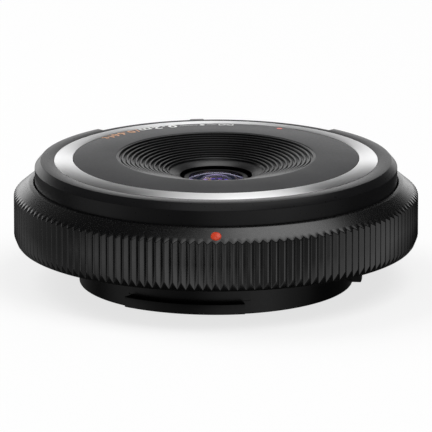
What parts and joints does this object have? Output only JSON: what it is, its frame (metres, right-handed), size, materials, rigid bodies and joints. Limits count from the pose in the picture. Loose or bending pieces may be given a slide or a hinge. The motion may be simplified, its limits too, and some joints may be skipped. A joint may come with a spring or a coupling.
{
  "type": "pancake camera lens",
  "caption": "Pancake fisheye camera lens with a ribbed grip, a focus lever that also works a built-in lens barrier, and a bayonet mount.",
  "frame": {"origin": "centre of the bayonet's rear edge, on the optical axis", "axes": "+Z along the optical axis towards the subject, +Y towards the focus lever"},
  "size_m": [0.056, 0.056, 0.0177],
  "materials": {
    "satin_black": "satin moulded",
    "moulded_black": "fine moulded",
    "silver_trim": "turned and polished",
    "blackened_metal": "matt black",
    "coated_glass": "purple coated",
    "index_paint": "gloss",
    "spring_steel": "plain",
    "screw_steel": "black zinc",
    "brass_pin": "turned"
  },
  "bodies": {
    "housing": {"name_ring": "satin_black", "front_cover": "satin_black", "trim_ring": "silver_trim", "grip_shell": "moulded_black", "mount_plate": "moulded_black", "rear_baffle": "moulded_black", "chassis": "moulded_black", "barrier_plate": "blackened_metal", "index_dot": "index_paint", "wave_washer": "spring_steel", "detent_spring": "spring_steel", "detent_screw": "screw_steel", "mount_screw_1": "screw_steel", "mount_screw_2": "screw_steel", "mount_screw_3": "screw_steel", "cover_screw_1": "screw_steel", "cover_screw_2": "screw_steel", "cover_screw_3": "screw_steel", "plate_screw_1": "screw_steel", "plate_screw_2": "screw_steel", "plate_screw_3": "screw_steel"},
    "focus_lever": {"focus_ring": "moulded_black", "focus_knob": "satin_black"},
    "lens_block": {"lens_barrel": "moulded_black", "cam_follower_1": "brass_pin", "cam_follower_2": "brass_pin", "cam_follower_3": "brass_pin", "front_element": "coated_glass", "second_element": "coated_glass", "third_element": "coated_glass", "doublet_front": "coated_glass", "doublet_rear": "coated_glass", "aperture_stop": "blackened_metal", "spacer_ring": "moulded_black", "front_retainer": "moulded_black", "rear_retainer": "moulded_black"},
    "barrier_blade_a": {"blade_a": "blackened_metal"},
    "barrier_blade_b": {"blade_b": "blackened_metal"}
  },
  "joints": [
    {"name": "lever_turn", "type": "hinge", "parent": "housing", "child": "focus_lever", "pos_m": [0, 0, 0], "axis": [0, 0, 1], "range_deg": [-34.1, 19.7]},
    {"name": "lens_slide", "type": "slide", "parent": "focus_lever", "child": "lens_block", "axis": [0, 0, 1], "range_m": [-0.00085, 0.00049]},
    {"name": "blade_a_swing", "type": "hinge", "parent": "housing", "child": "barrier_blade_a", "pos_m": [-0.0145, 0, 0], "axis": [0, 0, 1], "range_deg": [-13.8, 23.88]},
    {"name": "blade_b_swing", "type": "hinge", "parent": "housing", "child": "barrier_blade_b", "pos_m": [0.0145, 0, 0], "axis": [0, 0, 1], "range_deg": [-13.8, 23.88]}
  ],
  "couplings": [
    {"joint": "lens_slide", "follows": "lever_turn", "m_per_rad": 0.0014324},
    {"joint": "blade_a_swing", "follows": "lever_turn", "ratio": -0.7},
    {"joint": "blade_b_swing", "follows": "lever_turn", "ratio": -0.7}
  ]
}
